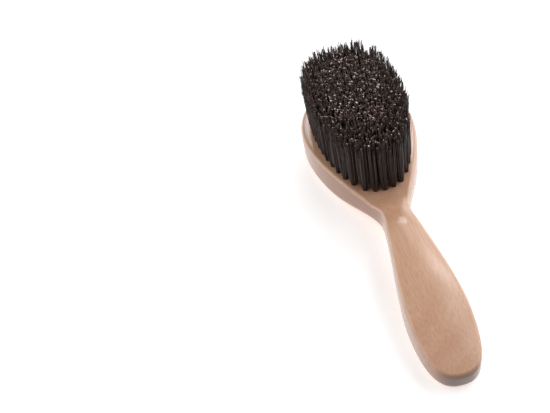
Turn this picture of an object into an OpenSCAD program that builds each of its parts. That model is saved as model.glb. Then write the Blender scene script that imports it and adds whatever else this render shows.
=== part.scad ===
// Beard brush: a one-piece wooden stock with a flat oval head, a narrow neck and
// a rounded handle, filled with rows of bristle tufts.
// Each tuft is a bundle of bristle folded in two round a small flat wire anchor.
// The anchor is driven into a blind hole in the head, and its ends bite the wood.
// The brush lies on its back with its bristles up.
// +Z is up, +X runs along the brush towards the head, and the origin is at the
// middle of its length, on the surface that it lies on.

/* [Stock] */
// Overall length of the stock
stock_length = 177; // [170:1:190]
// Thickness of the head, from its back to the tuft face
head_thick = 15.5; // [14:0.5:18]
// Widest part of the head
head_width = 54.2; // [53:0.2:60]
// Narrowest part of the neck
neck_width = 12.8; // [12:0.2:16]
// Widest part of the handle
grip_width = 24.2; // [22:0.2:28]
// Distance of the handle's widest part from its end, as a share of the length
grip_station = 0.149; // [0.135:0.001:0.165]
// Distance of the neck from the handle's end, as a share of the length
neck_station = 0.44; // [0.42:0.001:0.45]
// Distance of the head's widest part from the handle's end, as a share of the length
head_station = 0.81; // [0.8:0.001:0.82]
// Radius of the edge round the tuft face and the top of the handle
face_edge_radius = 1.6; // [1:0.1:2]
// Radius of the edge round the back
back_edge_radius = 3.7; // [2.5:0.1:4.5]

/* [Profile] */
// Thickness of the handle at its end
end_thick = 8.5; // [8:0.5:11]
// Height of the neck's crest above the tuft face, at the edge of its top
neck_rise = 4; // [2:0.1:5]
// Height of the neck's underside above the plane that the brush lies on
neck_lift = 5.8; // [3:0.1:6.5]
// Height of the crown across the top of the handle
handle_crown = 1; // [0.4:0.1:1.4]

/* [Tufts] */
// Number of rows of tufts along the head
tuft_rows = 15; // [11:1:15]
// Height of the bristle above the tuft face
bristle_height = 26; // [20:0.5:30]
// Distance between the tufts of one row
tuft_pitch = 4.2; // [4.2:0.1:5]
// Distance of the first row's middle tuft from the middle of the length
field_front = 6.2; // [5:0.1:8]
// Wood left between the last row's middle tuft and the tip of the head
tip_margin = 5.1; // [4.7:0.1:6]
// Half the width of the tuft field, to the middles of its outer tufts
field_half_width = 20.8; // [19:0.1:21.2]
// How far the first row bows towards the handle, and the last towards the tip
row_bow = 2.7; // [2:0.1:3]
// Diameter of the drilled hole that holds a tuft
hole_diameter = 2.6; // [2.4:0.1:2.8]
// Depth of the hole's straight wall
hole_depth = 8; // [6:0.5:8.5]
// Diameter of a tuft at its trimmed end, if its neighbours leave it that much room
tip_diameter = 3.8; // [3:0.1:3.9]

/* [Anchors] */
// Thickness of the flat wire that an anchor is cut from
anchor_thick = 0.36; // [0.26:0.02:0.46]
// Width of the flat wire, which stands upright in the hole
anchor_tall = 1.6; // [1.2:0.1:2]
// How far each end of the anchor bites into the wood
anchor_bite = 0.22; // [0.1:0.02:0.3]

/* [Hidden] */
// All the tufts of one row share a node, and so do the row's anchors
function row_name(kind, row) = str(kind, row < 10 ? "_0" : "_", row);

// Stations along the stock
end_x = -stock_length / 2;
tip_x = stock_length / 2;
grip_x = end_x + grip_station * stock_length;
neck_x = end_x + neck_station * stock_length;
head_x = end_x + head_station * stock_length;
grip_half = grip_width / 2;
neck_half = neck_width / 2;
head_half = head_width / 2;

// Profile: the handle's crest, where the milled tuft face ends, and where the
// underside is highest and comes back to the plane below
crest_x = neck_x - 12;
face_end_x = neck_x + 9;
lift_top_x = neck_x + 1.2;
lift_end_x = neck_x + 39;
crest_z = head_thick + neck_rise;

// Fineness of the stock's surface
curve_steps = 15;
edge_steps = 4;
crown_shares = [0.75, 0.4, 0, -0.4, -0.75];
least_half = 0.1;

// Tuft field: two half ovals that meet at the head's widest part, a little longer
// than the rows so that the end rows keep some length
field_back = tip_x - tip_margin;
front_reach = head_x - field_front + 1.3;
back_reach = field_back - head_x + 1.8;
front_power = 2;
back_power = 2.3;

// Drilling: the point of the drill leaves a cone of 118 degrees
round_faces = 32;
drill_tip = hole_diameter / 2 / tan(59);
mill_clear = 1;

// Clearance that keeps a tuft or an anchor off what is round it
fit_gap = 0.02;
fold_under_anchor = 0.9;
fold_round = 0.5;
tuft_spread_height = 12;
hole_bottom = head_thick - hole_depth;
anchor_z = hole_bottom + fold_under_anchor;

// ---- outline ----

function curve_point(p, t) =
    pow(1 - t, 3) * p[0] + 3 * t * pow(1 - t, 2) * p[1] + 3 * t * t * (1 - t) * p[2] + pow(t, 3) * p[3];

function curve_slope(p, t) =
    pow(1 - t, 2) * (p[1] - p[0]) + 2 * t * (1 - t) * (p[2] - p[1]) + t * t * (p[3] - p[2]);

// A curve from one width to the next, level at both ends; each pull is how far
// that end stays level, as a share of the distance
function between(a, b, pull_a, pull_b) = [
    a,
    [a[0] + pull_a * (b[0] - a[0]), a[1]],
    [b[0] - pull_b * (b[0] - a[0]), b[1]],
    b
];

// A rounded end: straight across at its pole, and level where it is widest
function rounded(pole, widest, pull_across, pull_along) = [
    pole,
    [pole[0], pull_across * widest[1]],
    [widest[0] - pull_along * (widest[0] - pole[0]), widest[1]],
    widest
];

function backwards(curve) = [for (k = [3:-1:0]) curve[k]];

// One side of the outline, from the handle's end to the tip of the head
outline_curves = [
    rounded([end_x, 0], [grip_x, grip_half], 0.56, 0.86),
    between([grip_x, grip_half], [neck_x, neck_half], 0.26, 0.21),
    between([neck_x, neck_half], [head_x, head_half], 0.15, 0.43),
    backwards(rounded([tip_x, 0], [head_x, head_half], 0.7, 0.45))
];

// Each entry is a point of the outline and the unit vector that points out of it
function outward(slope) = [-slope[1], slope[0]] / norm(slope);
side = concat(
    [
        for (curve = outline_curves, step = [0:curve_steps - 1])
            let (t = step / curve_steps)
            [curve_point(curve, t), outward(curve_slope(curve, t))]
    ],
    [[[tip_x, 0], [1, 0]]]
);
last = len(side) - 1;

// A point of the outline moved inwards
function inset(i, distance) = side[i][0] - distance * side[i][1];

// ---- profile ----

function limited(share) = min(1, max(0, share));
function eased(from, to, share) = from + (to - from) * (1 - cos(180 * limited(share))) / 2;

// Height of the underside: flat under the handle's end and under the head,
// lifted between them
function back_z(x) = x < lift_top_x
    ? eased(0, neck_lift, (x - grip_x) / (lift_top_x - grip_x))
    : eased(neck_lift, 0, (x - lift_top_x) / (lift_end_x - lift_top_x));

// Height of the handle's arched top, along its edge
function arch_z(x) = x < crest_x
    ? crest_z - (crest_z - end_thick) * pow((crest_x - x) / (crest_x - end_x), 2)
    : crest_z - neck_rise * pow((x - crest_x) / (face_end_x - crest_x), 2);

// Height of the crown above that edge, which fades out at the handle's end
function crown(x) =
    let (share = limited((grip_x - x) / (grip_x - end_x - face_edge_radius)))
    handle_crown * (1 - share * share);

// Height of the top: the crowned arch, and past the crest the flat tuft face
function top_z(x, share) =
    let (arch = arch_z(x) + crown(x) * (1 - share * share))
    x < crest_x ? arch : max(head_thick, arch);

// Slope of the crown where it meets the rolled edge: none beside the tuft face
function edge_slope(i) =
    let (p = inset(i, face_edge_radius), fade = limited((face_end_x - p[0]) / (face_end_x - crest_x)))
    fade * atan(2 * crown(p[0]) / max(least_half, p[1]));

// ---- stock ----

// Rings round the stock, from the edge of the flat back up to the edge of the top:
// a quarter circle, a straight wall, and an arc that ends at the crown's slope
function back_ring_point(i, share) =
    let (angle = 90 * share, p = inset(i, back_edge_radius * (1 - sin(angle))))
    [p[0], p[1], back_z(p[0]) + back_edge_radius * (1 - cos(angle))];

function top_ring_point(i, share) =
    let (slope = edge_slope(i), angle = (90 - slope) * share)
    let (p = inset(i, face_edge_radius * (1 - cos(angle))))
    [p[0], p[1], top_z(p[0], 1) - face_edge_radius * (cos(slope) - sin(angle))];

// A closed ring: out along one side, back along its mirror image
function mirrored(points) = concat(
    points,
    [for (i = [last - 1:-1:1]) [points[i][0], -points[i][1], points[i][2]]]
);

ring_shares = [for (step = [0:edge_steps]) step / edge_steps];
rings = concat(
    [for (share = ring_shares) mirrored([for (i = [0:last]) back_ring_point(i, share)])],
    [for (share = ring_shares) mirrored([for (i = [0:last]) top_ring_point(i, share)])]
);
ring_size = 2 * last;
ring_count = len(rings);
ring_points = [for (ring = rings) each ring];

// Across the top, each station has points between its two edges
crown_points = [
    for (i = [1:last - 1])
        let (edge = top_ring_point(i, 1))
        for (share = crown_shares) [edge[0], share * edge[1], top_z(edge[0], share)]
];
crown_start = ring_count * ring_size;
top_start = crown_start - ring_size;
crown_size = len(crown_shares);

// The points of one station across the top, from edge to edge
function crossing(i) = concat(
    [top_start + i],
    [for (k = [0:crown_size - 1]) crown_start + (i - 1) * crown_size + k],
    [top_start + ring_size - i]
);

// Each four-cornered patch is cut into two triangles
function patch(a, b, c, d) = [[a, b, c], [a, c, d]];

wall_faces = [
    for (r = [0:ring_count - 2], k = [0:ring_size - 1])
        let (a = r * ring_size + k, b = r * ring_size + (k + 1) % ring_size)
        each patch(a, a + ring_size, b + ring_size, b)
];

back_faces = concat(
    [[0, 1, ring_size - 1]],
    [
        for (i = [1:last - 2])
            each patch(i, i + 1, ring_size - i - 1, ring_size - i)
    ],
    [[last - 1, last, last + 1]]
);

top_faces = concat(
    [
        for (k = [0:crown_size])
            let (row = crossing(1))
            [top_start, row[k + 1], row[k]]
    ],
    [
        for (i = [1:last - 2], k = [0:crown_size])
            let (a = crossing(i), b = crossing(i + 1))
            each patch(a[k], a[k + 1], b[k + 1], b[k])
    ],
    [
        for (k = [0:crown_size])
            let (row = crossing(last - 1))
            [top_start + last, row[k], row[k + 1]]
    ]
);

module blank() {
    polyhedron(
        points = concat(ring_points, crown_points),
        faces = concat(wall_faces, back_faces, top_faces),
        convexity = 6
    );
}

// The hole is one turned shape: a straight wall and the cone that the drill leaves
module drilled_hole() {
    wall = hole_diameter / 2;
    rotate_extrude($fn = round_faces)
        polygon([
            [0, hole_bottom - drill_tip],
            [wall, hole_bottom],
            [wall, head_thick + mill_clear],
            [0, head_thick + mill_clear]
        ]);
}

module stock() {
    color("#d9b291")
        difference() {
            blank();
            for (row = [1:tuft_rows], place = row_places(row))
                translate(place) {
                    drilled_hole();
                    anchor_plate(fit_gap);
                }
        }
}

// ---- tuft field ----

function row_share(row) = (row - 1) / (tuft_rows - 1);
function row_middle(row) = field_front + row_share(row) * (field_back - field_front);

// The front rows bow towards the handle and the last ones towards the tip
function bow(row) = row_bow * (1 - 2 * row_share(row));

// Half the length of a row, from the oval outline of the field
function half_oval(share, power) = field_half_width * pow(1 - pow(share, power), 1 / power);
function row_half(row) =
    let (x = row_middle(row) + bow(row) - head_x)
    x < 0 ? half_oval(-x / front_reach, front_power) : half_oval(x / back_reach, back_power);

// Where the tufts of a row stand, evenly spaced along its bow
function row_places(row) =
    let (half = row_half(row), gaps = round(2 * half / tuft_pitch))
    [
        for (k = [0:gaps])
            let (share = 2 * k / gaps - 1)
            [row_middle(row) + bow(row) * share * share, half * share, 0]
    ];

// Distance between the closest two tufts, of one row or of two that are side by side
closest_in_row = min([for (row = [1:tuft_rows]) let (p = row_places(row)) norm(p[1] - p[0])]);
closest_across = min([
    for (row = [1:tuft_rows - 1], a = row_places(row), b = row_places(row + 1)) norm(a - b)
]);
closest = min(closest_in_row, closest_across);

// ---- tufts ----

// A bundle with its fold down in the hole: tight up to the tuft face, then
// spreading, and trimmed flat
module tuft() {
    root = hole_diameter / 2 - fit_gap;
    tip = min(tip_diameter, closest - fit_gap) / 2;
    difference() {
        rotate_extrude($fn = round_faces)
            polygon([
                [0, hole_bottom],
                [root - fold_round, hole_bottom],
                [root, hole_bottom + fold_round],
                [root, head_thick],
                [tip, head_thick + tuft_spread_height],
                [tip, head_thick + bristle_height],
                [0, head_thick + bristle_height]
            ]);
        anchor_plate(fit_gap);
    }
}

module tuft_row(row) {
    color("#231c1a")
        for (place = row_places(row))
            translate(place)
                tuft();
}

// ---- anchors ----

module anchor_plate(gap) {
    across = hole_diameter + 2 * anchor_bite;
    translate([-anchor_thick / 2 - gap, -across / 2 - gap, anchor_z - gap])
        cube([anchor_thick + 2 * gap, across + 2 * gap, anchor_tall + 2 * gap]);
}

module anchor_row(row) {
    color("#c9b37a")
        for (place = row_places(row))
            translate(place)
                anchor_plate(0);
}

stock();
for (row = [1:tuft_rows]) {
    tuft_row(row);
    anchor_row(row);
}
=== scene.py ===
import math

import bmesh
import bpy
import numpy as np
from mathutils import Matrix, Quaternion, Vector


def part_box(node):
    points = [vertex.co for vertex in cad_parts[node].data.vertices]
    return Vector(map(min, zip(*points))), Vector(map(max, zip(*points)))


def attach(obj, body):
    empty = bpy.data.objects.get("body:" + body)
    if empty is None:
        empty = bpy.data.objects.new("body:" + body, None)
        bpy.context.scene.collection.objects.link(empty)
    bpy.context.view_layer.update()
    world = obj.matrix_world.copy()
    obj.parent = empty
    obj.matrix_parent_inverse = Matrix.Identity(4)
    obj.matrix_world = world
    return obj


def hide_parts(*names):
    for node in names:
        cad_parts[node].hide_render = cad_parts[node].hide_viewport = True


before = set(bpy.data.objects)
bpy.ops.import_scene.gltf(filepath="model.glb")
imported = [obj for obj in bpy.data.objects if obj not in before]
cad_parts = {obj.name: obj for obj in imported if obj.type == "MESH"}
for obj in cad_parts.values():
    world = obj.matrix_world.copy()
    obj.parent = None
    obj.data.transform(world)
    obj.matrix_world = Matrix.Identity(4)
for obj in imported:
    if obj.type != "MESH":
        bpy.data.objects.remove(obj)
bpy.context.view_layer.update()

MM = 0.001


# ---------------------------------------------------------------------------
# The stock. One piece of beech: an oval head, a waisted neck and a long rounded
# handle, spindle-moulded all round, sanded and dipped in clear satin lacquer.
# The head's top is milled flat before it is drilled for the bristle.
# ---------------------------------------------------------------------------

stock_low, stock_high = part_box("stock")
end_x, tip_x = stock_low.x / MM, stock_high.x / MM
length = tip_x - end_x
head_half = stock_high.y / MM
neck_half = 6.4
grip_half = 12.1
grip_x = end_x + 0.149 * length
neck_x = end_x + 0.44 * length
head_x = end_x + 0.81 * length
head_thick = 15.5
end_thick = 8.5
neck_rise = 4.0
neck_lift = 5.8
handle_crown = 1.0
face_edge_radius = 1.6
back_edge_radius = 3.7
crest_x = neck_x - 12.0
face_end_x = neck_x + 9.0
lift_top_x = neck_x + 1.2
lift_end_x = neck_x + 39.0
least_half = 0.1
weld_distance = 0.001


def curve(points, t):
    """Cubic curve and its slope: each corner weighs as (1-t)^3, 3t(1-t)^2, 3t^2(1-t) and t^3."""
    p = np.array(points, float)
    s = 1 - t
    weights = np.stack([s**3, 3 * t * s**2, 3 * t**2 * s, t**3], 1)
    slope = np.stack([s**2, 2 * s * t, t**2], 1)
    return weights @ p, slope @ np.diff(p, axis=0)


def waist(a, b, pull_a, pull_b):
    """The four corners of a curve from a to b that is level at both ends."""
    run = b[0] - a[0]
    return [a, (a[0] + pull_a * run, a[1]), (b[0] - pull_b * run, b[1]), b]


def rounded(pole, widest, across, along):
    """The four corners of a rounded end: square to the length at its pole, level where it is widest."""
    run = widest[0] - pole[0]
    return [pole, (pole[0], across * widest[1]), (widest[0] - along * run, widest[1]), widest]


def outline(steps):
    """One side of the plan view, from the handle's end to the head's tip, with its outward normals."""
    t = np.linspace(0, 1, steps, endpoint=False)
    corners = [
        rounded((end_x, 0), (grip_x, grip_half), across=0.56, along=0.86),
        waist((grip_x, grip_half), (neck_x, neck_half), pull_a=0.26, pull_b=0.21),
        waist((neck_x, neck_half), (head_x, head_half), pull_a=0.15, pull_b=0.43),
        rounded((tip_x, 0), (head_x, head_half), across=0.7, along=0.45)[::-1],
    ]
    pieces = [curve(c, t) for c in corners]
    points = np.vstack([p for p, _ in pieces] + [[[tip_x, 0]]])
    slopes = np.vstack([s for _, s in pieces] + [[[0, -1]]])
    normals = np.stack([-slopes[:, 1], slopes[:, 0]], 1)
    return points, normals / np.linalg.norm(normals, axis=1)[:, None]


def eased(a, b, share):
    """From a to b along half a cosine, level at both ends."""
    return a + (b - a) * (1 - np.cos(np.pi * np.clip(share, 0, 1))) / 2


def back_z(x):
    """Height of the underside: flat under the handle's end and the head, lifted under the neck."""
    rising = eased(0, neck_lift, (x - grip_x) / (lift_top_x - grip_x))
    falling = eased(neck_lift, 0, (x - lift_top_x) / (lift_end_x - lift_top_x))
    return np.where(x < lift_top_x, rising, falling)


def crown(x):
    """Height of the crown across the handle, less by the square of the way into its rounded end."""
    share = np.clip((grip_x - x) / (grip_x - end_x - face_edge_radius), 0, 1)
    return handle_crown * (1 - share**2)


def top_z(x, share):
    """Height of the top: two parabolas meet at the neck's crest, crowned across by 1 - share^2,
    and past the crest the top is never lower than the milled face."""
    handle = (head_thick + neck_rise - end_thick) * ((crest_x - x) / (crest_x - end_x)) ** 2
    shoulder = neck_rise * ((x - crest_x) / (face_end_x - crest_x)) ** 2
    arch = head_thick + neck_rise - np.where(x < crest_x, handle, shoulder) + crown(x) * (1 - share**2)
    return np.where(x < crest_x, arch, np.maximum(arch, head_thick))


def edge_slope(points, normals):
    """Angle at which the crown meets the rolled edge, atan(2 crown / half width), fading out
    from the neck's crest to the milled face."""
    x, y = (points - face_edge_radius * normals).T
    fade = np.clip((face_end_x - x) / (face_end_x - crest_x), 0, 1)
    return fade * np.arctan(2 * crown(x) / np.maximum(y, least_half))


def grid_faces(rows, columns, closed):
    """Quads between neighbouring rows of a rows by columns grid of point numbers."""
    across = columns if closed else columns - 1
    r, c = np.meshgrid(np.arange(rows - 1), np.arange(across), indexing="ij")
    a, b = r * columns + c, r * columns + (c + 1) % columns
    return np.stack([a, b, b + columns, a + columns], -1).reshape(-1, 4)


def mesh_piece(name, points, faces, weld=0.0):
    """A mesh object at the origin from points in millimetres and faces as rows of point numbers. A weld
    distance merges the points of seams and poles and turns the faces outwards."""
    mesh = bpy.data.meshes.new(name)
    mesh.from_pydata((np.asarray(points) * MM).tolist(), [], np.asarray(faces).tolist())
    if weld:
        work = bmesh.new()
        work.from_mesh(mesh)
        bmesh.ops.remove_doubles(work, verts=work.verts, dist=weld * MM)
        bmesh.ops.dissolve_degenerate(work, edges=work.edges, dist=weld * MM)
        bmesh.ops.recalc_face_normals(work, faces=work.faces)
        work.to_mesh(mesh)
        work.free()
    piece = bpy.data.objects.new(name, mesh)
    bpy.context.scene.collection.objects.link(piece)
    return piece


def stock_surface(steps, edge_steps, crown_steps):
    """Rings round the outline, rolled inwards by a quarter circle at the back and by an arc at the
    top that ends at the crown's slope, then closed by rows of points from one edge to the other."""
    points, normals = outline(steps)
    slope = edge_slope(points, normals)
    rings = []
    for share in np.linspace(0, 1, edge_steps):
        angle = share * np.pi / 2
        p = points - back_edge_radius * (1 - np.sin(angle)) * normals
        rings.append(np.column_stack([p, back_z(p[:, 0]) + back_edge_radius * (1 - np.cos(angle))]))
    for share in np.linspace(0, 1, edge_steps):
        angle = share * (np.pi / 2 - slope)
        p = points - (face_edge_radius * (1 - np.cos(angle)))[:, None] * normals
        drop = face_edge_radius * (np.cos(slope) - np.sin(angle))
        rings.append(np.column_stack([p, top_z(p[:, 0], np.ones(len(p))) - drop]))
    rings = np.array(rings)
    rings[:, [0, -1], 1] = 0
    mirror = rings[:, -2:0:-1] * [1, -1, 1]
    band = np.concatenate([rings, mirror], 1)
    parts = [band.reshape(-1, 3)]
    faces = [grid_faces(len(band), band.shape[1], True)]
    start = len(parts[0])
    share = np.linspace(1, -1, crown_steps)[None, :]
    for edge, height in ((rings[0], lambda x, s: back_z(x) + 0 * s), (rings[-1], top_z)):
        x = np.repeat(edge[:, :1], crown_steps, 1)
        cap = np.stack([x, edge[:, 1:2] * share, height(x, share)], -1)
        parts.append(cap.reshape(-1, 3))
        faces.append(grid_faces(*x.shape, False) + start)
        start += x.size
    return np.vstack(parts), np.vstack(faces)


surface = stock_surface(steps=44, edge_steps=9, crown_steps=25)
stock = mesh_piece("stock_wood", *surface, weld=weld_distance)


# The drilled field: fifteen bowed rows of blind holes inside two half ovals that
# reach a little past the end rows, each hole 2.6 mm across and 8 mm deep with the
# cone that a drill of 118 degrees leaves, which slopes by 31 degrees.
rows = sum(name.startswith("tuft_row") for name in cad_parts)
tuft_pitch = 4.2
field_front = 6.2
tip_margin = 5.1
field_back = tip_x - tip_margin
field_half_width = 20.8
row_bow = 2.7
front_reach = head_x - field_front + 1.3
back_reach = field_back - head_x + 1.8
front_power = 2
back_power = 2.3
hole_radius = 1.3
hole_depth = 8.0
cone_slope = math.radians(31)
drill_clearance = 1


def row_places(row):
    """Middles of a row's tufts: evenly spaced across the oval, bowed by the square of their share.
    The row's half length is the field's times (1 - (distance / reach)^power)^(1 / power)."""
    share = row / (rows - 1)
    middle = field_front + share * (field_back - field_front)
    bow = row_bow * (1 - 2 * share)
    x = middle + bow - head_x
    reach, power = (front_reach, front_power) if x < 0 else (back_reach, back_power)
    half = field_half_width * (1 - (abs(x) / reach) ** power) ** (1 / power)
    gaps = round(2 * half / tuft_pitch)
    across = np.linspace(-1, 1, gaps + 1)
    return np.stack([middle + bow * across**2, half * across], 1)


def drills(places, sides=20):
    """One drill per place: a pole at its tip, a ring at the cone's end, a ring above the wood and a
    pole there. The tip is tan(31 degrees) times the radius below the hole's wall."""
    turn = np.arange(sides) * 2 * np.pi / sides
    ring = np.stack([np.cos(turn), np.sin(turn)], 1) * hole_radius
    bottom = head_thick - hole_depth
    point = bottom - hole_radius * math.tan(cone_slope)
    top = head_thick + drill_clearance
    radius = np.array([0, 1, 1, 0])
    height = np.array([point, bottom, top, top])
    circles = radius[:, None, None] * ring[None]
    one = np.concatenate([circles, np.repeat(height[:, None, None], sides, 1)], -1)
    shifts = np.column_stack([places, np.zeros(len(places))])
    points = shifts[:, None, None, :] + one[None]
    faces = grid_faces(len(height), sides, True)[None]
    faces = faces + np.arange(len(places))[:, None, None] * len(height) * sides
    return points.reshape(-1, 3), faces.reshape(-1, 4)


places = [row_places(row) for row in range(rows)]
cutter = mesh_piece("drills", *drills(np.vstack(places)), weld=weld_distance)
cut = stock.modifiers.new("drilling", "BOOLEAN")
cut.object = cutter
cut.operation = "DIFFERENCE"
cut.solver = "EXACT"
depsgraph = bpy.context.evaluated_depsgraph_get()
drilled = bpy.data.meshes.new_from_object(stock.evaluated_get(depsgraph))
stock.modifiers.clear()
stock.data = drilled
bpy.data.objects.remove(cutter)
drilled.shade_smooth()
drilled.set_sharp_from_angle(angle=math.radians(40))


def linear(hex_colour):
    """An sRGB hex colour as linear red, green, blue and alpha."""
    channels = [int(hex_colour[i : i + 2], 16) / 255 for i in (1, 3, 5)]
    return [c / 12.92 if c <= 0.04045 else ((c + 0.055) / 1.055) ** 2.4 for c in channels] + [1.0]


def add(tree, kind, inputs=(), **settings):
    """Adds a node, sets its properties, and gives each named input a value or a link."""
    node = tree.nodes.new(kind)
    for name, value in settings.items():
        setattr(node, name, value)
    for name, value in dict(inputs).items():
        if isinstance(value, bpy.types.NodeSocket):
            tree.links.new(value, node.inputs[name])
        else:
            node.inputs[name].default_value = value
    return node


def new_material(name):
    """An empty node material with its output, and the tree to build it in."""
    material = bpy.data.materials.new(name)
    material.use_nodes = True
    material.node_tree.nodes.clear()
    return material, material.node_tree, add(material.node_tree, "ShaderNodeOutputMaterial")


def ramp(tree, fac, stops):
    """A colour ramp through (position, linear colour) stops."""
    node = add(tree, "ShaderNodeValToRGB", {"Fac": fac})
    while len(node.color_ramp.elements) < len(stops):
        node.color_ramp.elements.new(0.5)
    for element, (position, colour) in zip(node.color_ramp.elements, stops):
        element.position = position
        element.color = colour
    return node


def grey(value):
    """A linear grey."""
    return [value, value, value, 1.0]


# Beech, plain-sawn: a pale pinkish tan with year rings about 3 mm wide that show
# as faint long figures, short dark ray flecks 2 mm long, and a fine long grain.
# The shaped walls are painted darker the steeper they stand, a painted shade, and the
# end grain at the handle's end and the head's tip is darkest, its own darker colour
# with painted shade on top. The lacquer is thin and glossy, with a clean highlight
# along the edges.
def lacquered_beech():
    material, tree, output = new_material("lacquered_beech")
    place = add(tree, "ShaderNodeTexCoord").outputs["Object"]
    in_mm = add(tree, "ShaderNodeMapping", {
        "Vector": place, "Scale": (1 / MM, 1 / MM, 1 / MM),
    }).outputs[0]
    tree_axis = add(tree, "ShaderNodeMapping", {
        "Vector": in_mm, "Location": (0, 9, 46), "Rotation": (0, math.radians(3.5), math.radians(-1.5)),
    }).outputs[0]
    rings = add(tree, "ShaderNodeTexWave", {
        "Vector": tree_axis, "Scale": 0.105, "Distortion": 2.4, "Detail": 3.0, "Detail Scale": 0.35,
    }, wave_type="RINGS", rings_direction="X").outputs["Fac"]
    long_grain = add(tree, "ShaderNodeMapping", {
        "Vector": in_mm, "Scale": (0.05, 2.0, 2.0),
    }).outputs[0]
    grain = add(tree, "ShaderNodeTexNoise", {
        "Vector": long_grain, "Scale": 1.0, "Detail": 5.0,
    }).outputs["Fac"]
    fleck_space = add(tree, "ShaderNodeMapping", {
        "Vector": in_mm, "Scale": (0.42, 2.6, 1.2),
    }).outputs[0]
    flecks = add(tree, "ShaderNodeTexNoise", {
        "Vector": fleck_space, "Scale": 1.0, "Detail": 1.0,
    }).outputs["Fac"]
    cloud = add(tree, "ShaderNodeTexNoise", {
        "Vector": in_mm, "Scale": 0.03, "Detail": 2.0,
    }).outputs["Fac"]
    base = ramp(tree, cloud, [(0.35, linear("#cda081")), (0.65, linear("#d4a78b"))]).outputs["Color"]
    figure = add(tree, "ShaderNodeMix", {
        "Factor": ramp(tree, rings, [(0.25, grey(0)), (0.95, grey(0.28))]).outputs["Color"],
        "A": base, "B": linear("#c08c69"),
    }, data_type="RGBA")
    streaked = add(tree, "ShaderNodeMix", {
        "Factor": ramp(tree, grain, [(0.38, grey(0)), (0.68, grey(0.6))]).outputs["Color"],
        "A": figure.outputs["Result"], "B": linear("#b68869"),
    }, data_type="RGBA")
    flecked = add(tree, "ShaderNodeMix", {
        "Factor": ramp(tree, flecks, [(0.62, grey(0)), (0.76, grey(0.3))]).outputs["Color"],
        "A": streaked.outputs["Result"], "B": linear("#a87350"),
    }, data_type="RGBA")
    normal = add(tree, "ShaderNodeNewGeometry").outputs["Normal"]
    facing = add(tree, "ShaderNodeSeparateXYZ", {"Vector": normal})
    level = add(tree, "ShaderNodeMath", {0: facing.outputs["Z"]}, operation="ABSOLUTE").outputs[0]
    # Painted shade: the steeper a wall stands, the further its colour is multiplied towards #bba99a.
    painted_wall_shade = add(tree, "ShaderNodeMix", {
        "Factor": ramp(tree, level, [(0.05, grey(1)), (0.65, grey(0))]).outputs["Color"],
        "A": flecked.outputs["Result"], "B": linear("#bba99a"),
    }, data_type="RGBA", blend_type="MULTIPLY")
    along = add(tree, "ShaderNodeMath", {0: facing.outputs["X"]}, operation="ABSOLUTE").outputs[0]
    # End grain, where the surface faces along the length: partly its own darker colour, partly painted
    # shade.
    end_grain_and_shade = add(tree, "ShaderNodeMix", {
        "Factor": ramp(tree, along, [(0.45, grey(0)), (0.95, grey(1.0))]).outputs["Color"],
        "A": painted_wall_shade.outputs["Result"], "B": linear("#5c4033"),
    }, data_type="RGBA")
    bump = add(tree, "ShaderNodeBump", {
        "Height": grain, "Strength": 0.06, "Distance": 0.05 * MM,
    }).outputs[0]
    shader = add(tree, "ShaderNodeBsdfPrincipled", {
        "Base Color": end_grain_and_shade.outputs["Result"], "Roughness": 0.5, "IOR": 1.5, "Normal": bump,
        "Coat Weight": 1.0, "Coat Roughness": 0.21, "Coat IOR": 1.5,
    })
    tree.links.new(shader.outputs[0], output.inputs["Surface"])
    return material


stock.data.materials.clear()
stock.data.materials.append(lacquered_beech())
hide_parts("stock")
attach(stock, "root")


# ---------------------------------------------------------------------------
# The anchors. Each is a short length of drawn brass flat wire, cut square, that
# stands across its hole and bites the wood at both ends. They stay CAD pieces.
# ---------------------------------------------------------------------------

def drawn_brass():
    """Brass wire: bright, with fine drawing lines along it."""
    material, tree, output = new_material("drawn_brass_wire")
    place = add(tree, "ShaderNodeTexCoord").outputs["Object"]
    lines = add(tree, "ShaderNodeMapping", {"Vector": place, "Scale": (9000, 400, 9000)}).outputs[0]
    scratch = add(tree, "ShaderNodeTexNoise", {
        "Vector": lines, "Scale": 1.0, "Detail": 2.0,
    }).outputs["Fac"]
    tone = ramp(tree, scratch, [(0.3, linear("#b99450")), (0.7, linear("#d8b978"))]).outputs["Color"]
    rough = ramp(tree, scratch, [(0.3, grey(0.38)), (0.7, grey(0.26))]).outputs["Color"]
    shader = add(tree, "ShaderNodeBsdfPrincipled", {
        "Base Color": tone, "Metallic": 1.0, "Roughness": rough,
    })
    tree.links.new(shader.outputs[0], output.inputs["Surface"])
    return material


brass = drawn_brass()
for row in range(rows):
    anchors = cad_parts[f"anchor_row_{row + 1:02d}"]
    anchors.data.materials.clear()
    anchors.data.materials.append(brass)


# ---------------------------------------------------------------------------
# The bristle. Natural boar, black-brown, each strand about 0.2 mm thick. A bundle
# of strands is folded under its anchor, comes out of the hole as a tight round
# tuft, and spreads until the tufts meet. The block is then trimmed flat.
# ---------------------------------------------------------------------------

strands_per_tuft = 56
clumps_per_tuft = 18
strand_radius = 0.11
bristle_height = 26.0
bundle_radius = 1.14
plate_half = 0.3
fold_under_anchor = 0.88
plate_bottom = head_thick - hole_depth + fold_under_anchor
foot_rise = 0.6
fold_gap = 0.08
opening_height = 5
longest = bristle_height + 0.95
short_share = 0.05
stray_share = 0.4
crowded_from = 0.45
ragged_from = 0.72
tip_reach = np.array([2.95, 2.65])
combed = np.array([0.2, 0.4])
random = np.random.default_rng(20)


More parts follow.
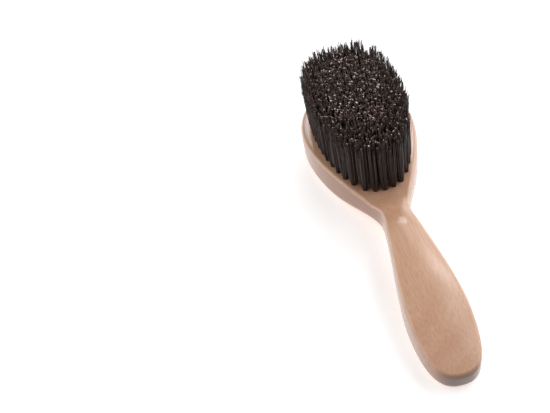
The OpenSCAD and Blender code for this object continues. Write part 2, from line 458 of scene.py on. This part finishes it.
def strand_paths(place, count):
    """Points along each strand of one tuft, from one cut end down under the anchor and up to the other.
    The root sits on a half disc beside the anchor; going up, the offset from the tuft's middle grows
    by 1 - exp(-height / 5) towards the tip's place on a wider oval, with a small sideways bow, and the
    tips are drawn to the nearest clump. The outer tufts lean inwards from the sides and the handle's
    end, but forwards at the head's tip. Their clumps are ragged: some are short, and some strands bend
    outwards over their last third, by the fourth power of the height.
    The fold is half an ellipse below the anchor, deeper for a strand that stands further out.
    Returns the paths and, for each strand's two ends, the clump that it is in and whether it strays."""
    radius = np.sqrt(random.uniform(0.02, 1, count))
    turn = random.uniform(-np.pi / 2, np.pi / 2, count)
    u, v = radius * np.cos(turn), radius * np.sin(turn)
    spot = np.sqrt(random.uniform(0, 1, clumps_per_tuft))
    spin = random.uniform(0, 2 * np.pi, clumps_per_tuft)
    clumps = np.stack([spot * np.cos(spin), spot * np.sin(spin)], 1)
    half_length = field_back - head_x if place[0] > head_x else head_x - field_front
    from_centre = (place - [head_x, 0]) / [half_length, field_half_width]
    edge = np.linalg.norm(from_centre)
    away = from_centre / max(edge, 0.01)
    ragged = np.clip((edge - ragged_from) / 0.2, 0, 1) * (0.8 + 0.2 * away[0])
    clump_level = random.normal(-0.1, 0.25, clumps_per_tuft)
    clump_level = clump_level + ragged * random.uniform(-4.2, 1.1, clumps_per_tuft)
    heights = np.array([0.0, 0.06, 0.16, 0.32, 0.55, 0.8, 1.0])
    grow = 1 - np.exp(-heights * bristle_height / opening_height)
    grow = grow / (1 - np.exp(-bristle_height / opening_height))
    bow = np.sin(np.pi * heights**0.8)
    crowding = np.clip((edge - crowded_from) / 0.5, 0, 1) ** 1.5
    lean = combed + random.normal(0, 0.12, 2)
    lean += crowding * away * [2.4 if away[0] > 0 else -0.7, -0.8]
    legs, members, strays = [], [], []
    for side in (1, -1):
        root = np.stack([side * (plate_half + u * (bundle_radius - plate_half)), v * bundle_radius], 1)
        free = np.stack([side * u, v], 1)
        member = np.argmin(np.linalg.norm(free[:, None] - clumps[None], axis=-1), axis=1)
        drawn = (0.55 + 0.35 * ragged) * (clumps[member] - free)
        tip = (free + drawn) * tip_reach + random.normal(0, 0.12, (count, 2)) + lean
        level = bristle_height + clump_level[member] + random.normal(0, 0.1, count)
        level -= (random.random(count) < short_share) * random.uniform(1, 5, count)
        stray = ragged * (random.random(count) < stray_share)
        splay = away * random.uniform(0, 3.6, (count, 1)) * [1, 0.7]
        splay = stray[:, None] * (splay + random.normal(0, 0.3, (count, 2)))
        level = np.minimum(level + stray * random.uniform(-0.5, 1.2, count), longest)
        curl = random.normal(0, 0.22, (count, 2))
        flat = root[:, None] + grow[None, :, None] * (tip - root)[:, None]
        flat += bow[None, :, None] * curl[:, None]
        flat += (heights**4)[None, :, None] * splay[:, None]
        height = head_thick + heights[None, :] * level[:, None]
        leg = np.concatenate([flat, height[..., None]], -1)
        foot = np.column_stack([root, np.full(count, plate_bottom + foot_rise)])[:, None]
        legs.append(np.concatenate([foot, leg], 1))
        members.append(member)
        strays.append(stray > 0)
    depth = 0.12 + 0.62 * u[:, None] * (1 - 0.5 * v[:, None] ** 2)
    swing = np.radians([18, 50, 90, 130, 162])[None, :]
    reach = legs[0][:, 0, 0][:, None]
    bend = np.stack([
        np.cos(swing) * reach,
        np.repeat(legs[0][:, 0, 1][:, None], swing.size, 1),
        plate_bottom - fold_gap - np.sin(swing) * depth,
    ], -1)
    path = np.concatenate([legs[0][:, ::-1], bend, legs[1]], 1)
    return path + [place[0], place[1], 0], np.stack(members, 1), np.stack(strays, 1)


def tubes(paths, cut_end, stray):
    """A three-sided tube along each path. The tube's two side directions are square to the path's
    tangent, which always lies near the XZ plane, so the first is tangent x Y. The trimmer has spread
    the cut ends to 1.2 times their thickness, and the palest of them to 3.1 times, and each end is cut
    at its own slant. An end that strays was missed by the trimmer and tapers to half."""
    tangent = np.gradient(paths, axis=1)
    tangent /= np.linalg.norm(tangent, axis=-1, keepdims=True)
    a = np.cross(tangent, [0.0, 1.0, 0.0])
    a /= np.linalg.norm(a, axis=-1, keepdims=True)
    b = np.cross(tangent, a)
    strands, rings = paths.shape[:2]
    turn = random.uniform(0, 2 * np.pi, (strands, 1, 1)) + np.arange(3) * 2 * np.pi / 3
    thick = strand_radius * random.uniform(0.8, 1.15, (strands, 1, 1, 1)) * np.ones((1, rings, 1, 1))
    thick[:, [0, -1]] *= np.where(stray, 0.5, 1.2 + 1.9 * cut_end)[:, :, None, None]
    points = paths[:, :, None] + thick * (
        np.cos(turn)[..., None] * a[:, :, None] + np.sin(turn)[..., None] * b[:, :, None]
    )
    slant = random.normal(0, 0.3, (strands, 2, 1, 2))
    tips = points[:, [0, -1], :, :2] - paths[:, [0, -1], None, :2]
    points[..., 2][:, [0, -1]] += (tips * slant).sum(-1)
    start = np.arange(strands)[:, None, None] * rings * 3
    walls = grid_faces(rings, 3, True)[None] + start
    first = np.array([[0, 2, 1]])[None] + start
    final = (rings - 1) * 3 + np.array([[0, 1, 2]])[None] + start
    return points.reshape(-1, 3), walls, np.concatenate([first, final], 1)


def bristle_row(name, row_middles):
    """All the strands of one row as one mesh. Its corner colours hold, in red, each strand's own
    tone, in green, the height above the wood, and in blue, how pale the cut end is, partly as a painted
    glint: most clumps are dark, a few are pale, and an end that strays is not cut, so its blue is 0."""
    tufts = [strand_paths(place, strands_per_tuft) for place in row_middles]
    paths, members, stray = (np.concatenate(part) for part in zip(*tufts))
    strands = len(paths)
    clump_tone = random.random((len(tufts), clumps_per_tuft))
    pale = clump_tone[np.arange(strands)[:, None] // strands_per_tuft, members] ** 3
    cut_end = pale * random.uniform(0.3, 1, (strands, 2)) * ~stray
    points, walls, ends = tubes(paths, cut_end, stray)
    mesh = bpy.data.meshes.new(name)
    quads, caps = walls.reshape(-1, 4), ends.reshape(-1, 3)
    mesh.vertices.add(len(points))
    mesh.vertices.foreach_set("co", (points * MM).ravel())
    corners = np.concatenate([quads.ravel(), caps.ravel()])
    mesh.loops.add(len(corners))
    mesh.loops.foreach_set("vertex_index", corners)
    mesh.polygons.add(len(quads) + len(caps))
    starts = np.concatenate([np.arange(len(quads)) * 4, quads.size + np.arange(len(caps)) * 3])
    mesh.polygons.foreach_set("loop_start", starts)
    mesh.update(calc_edges=True)
    tone = random.random(strands)
    per_wall, per_caps = walls[0].size, ends[0].size
    red = np.concatenate([np.repeat(tone, per_wall), np.repeat(tone, per_caps)])
    blue = np.concatenate([np.zeros(quads.size), np.repeat(cut_end.ravel(), 3)])
    green = np.clip((points[corners, 2] - head_thick) / bristle_height, 0, 1)
    colour = mesh.color_attributes.new("strand", "FLOAT_COLOR", "CORNER")
    colour.data.foreach_set("color", np.stack([red, green, blue, np.ones(len(red))], 1).ravel())
    mesh.shade_smooth()
    smooth = np.concatenate([np.ones(len(quads), bool), np.zeros(len(caps), bool)])
    mesh.polygons.foreach_set("use_smooth", smooth)
    piece = bpy.data.objects.new(name, mesh)
    bpy.context.scene.collection.objects.link(piece)
    return piece


# Boar bristle: nearly black, some strands browner, with a faint waxy shine, and
# painted darker near the top as shade in the gaps between the cut ends.
# Where the trimmer cut a strand the end is painted pale, up to near white: partly the
# paler cut end, partly a painted glint, which speckles the top.
def boar_bristle():
    material, tree, output = new_material("boar_bristle")
    strand = add(tree, "ShaderNodeAttribute", attribute_name="strand").outputs["Color"]
    split = add(tree, "ShaderNodeSeparateColor", {"Color": strand})
    tone, height, cut = split.outputs
    body = ramp(tree, tone, [
        (0.0, linear("#342a28")), (0.7, linear("#3d302c")),
        (0.9, linear("#4d372f")), (1.0, linear("#6b4636")),
    ]).outputs["Color"]
    # Painted shade: over their top fifth the strands are mixed towards #301811, which darkens the gaps
    # between the ends.
    painted_top_shade = add(tree, "ShaderNodeMix", {
        "Factor": ramp(tree, height, [(0.8, grey(0)), (0.97, grey(0.75))]).outputs["Color"],
        "A": body, "B": linear("#301811"),
    }, data_type="RGBA").outputs["Result"]
    # Partly painted glint: the palest cut ends are painted near white, the rest a paler brown.
    pale_end_and_glint = ramp(tree, cut, [
        (0.0, linear("#4a261b")), (0.3, linear("#8a5a4a")),
        (0.7, linear("#ecd5cb")), (1.0, linear("#fff4ee")),
    ]).outputs["Color"]
    end_and_glint_mask = ramp(tree, cut, [(0.0, grey(0)), (0.15, grey(1))]).outputs["Color"]
    tipped = add(tree, "ShaderNodeMix", {
        "Factor": end_and_glint_mask, "A": painted_top_shade, "B": pale_end_and_glint,
    }, data_type="RGBA")
    polish = ramp(tree, height, [(0.94, grey(0.42)), (0.99, grey(0.22))]).outputs["Color"]
    shader = add(tree, "ShaderNodeBsdfPrincipled", {
        "Base Color": tipped.outputs["Result"], "Roughness": polish,
        "IOR": 1.5, "Specular IOR Level": 0.5,
    })
    tree.links.new(shader.outputs[0], output.inputs["Surface"])
    return material


bristle = boar_bristle()
for row in range(rows):
    number = f"{row + 1:02d}"
    tufts = bristle_row(f"bristle_row_{number}", places[row])
    tufts.data.materials.append(bristle)
    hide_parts(f"tuft_row_{number}")
    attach(tufts, "root")


# ---------------------------------------------------------------------------
# The table and the studio: a plain white floor, a large soft light on each side, a
# small one beyond the head and one high on the right that shine in the lacquer, and a
# tent that is pale low down and dimmer towards the camera.
# ---------------------------------------------------------------------------

floor_half = 2500
floor_corners = np.array([[-1, -1, 0], [1, -1, 0], [1, 1, 0], [-1, 1, 0]]) * floor_half
floor = mesh_piece("floor", floor_corners, [[0, 1, 2, 3]])
paper, tree, output = new_material("white_paper")
matt = add(tree, "ShaderNodeBsdfPrincipled", {
    "Base Color": linear("#f4f4f4"), "Roughness": 1.0, "Specular IOR Level": 0.0,
    "Emission Color": grey(1.0), "Emission Strength": 0.44,
})
tree.links.new(matt.outputs[0], output.inputs["Surface"])
floor.data.materials.append(paper)


def aim(thing, place, target, roll=0.0):
    """Puts a light or the camera at place, in millimetres, looking at target, then rolls it."""
    place, target = Vector(place) * MM, Vector(target) * MM
    turn = (target - place).to_track_quat("-Z", "Y") @ Quaternion((0, 0, 1), math.radians(roll))
    thing.rotation_mode = "QUATERNION"
    thing.location, thing.rotation_quaternion = place, turn


def softbox(name, place, width, height, power):
    """A flat area light, width by height in millimetres, that looks at the brush."""
    light = bpy.data.lights.new(name, "AREA")
    light.shape = "RECTANGLE"
    light.size, light.size_y = width * MM, height * MM
    light.energy = power
    holder = bpy.data.objects.new(name, light)
    bpy.context.scene.collection.objects.link(holder)
    aim(holder, place, (0, 0, 10))


softbox("back_softbox", (709, -151, 543), width=270, height=230, power=1.75)
softbox("left_softbox", (50, 520, 480), width=1100, height=800, power=2.5)
softbox("right_softbox", (50, -520, 480), width=1100, height=800, power=4.6)
softbox("edge_light", (302, -360, 657), width=180, height=150, power=0.45)

# The tent's strength is 0.12 all round. Below 21 degrees of height, fading out by 29,
# it is up to 1.7 stronger: by all of that beyond the head, by a quarter in front.
world = bpy.data.worlds.new("tent")
world.use_nodes = True
tent = world.node_tree
direction = add(tent, "ShaderNodeTexCoord").outputs["Generated"]
heading = add(tent, "ShaderNodeSeparateXYZ", {"Vector": direction})
low = ramp(tent, heading.outputs["Z"], [(0.36, grey(1)), (0.48, grey(0))]).outputs["Color"]
behind = ramp(tent, heading.outputs["X"], [(0.0, grey(0.25)), (0.6, grey(1))]).outputs["Color"]
wall = add(tent, "ShaderNodeMath", {0: low, 1: behind}, operation="MULTIPLY").outputs[0]
glow = add(tent, "ShaderNodeMath", {0: wall, 1: 1.7, 2: 0.12}, operation="MULTIPLY_ADD").outputs[0]
tent.nodes["Background"].inputs["Color"].default_value = grey(1.0)
tent.links.new(glow, tent.nodes["Background"].inputs["Strength"])
bpy.context.scene.world = world
bpy.context.scene.view_settings.view_transform = "Standard"

lens = bpy.data.cameras.new("camera")
lens.lens = 47.765
lens.sensor_width = 36.0
lens.clip_start = 0.01
camera = bpy.data.objects.new("camera", lens)
bpy.context.scene.collection.objects.link(camera)
aim(camera, (-222.85, 53.76, 241.22), (18.07, 48.86, 10.0), roll=-13.377)
bpy.context.scene.camera = camera
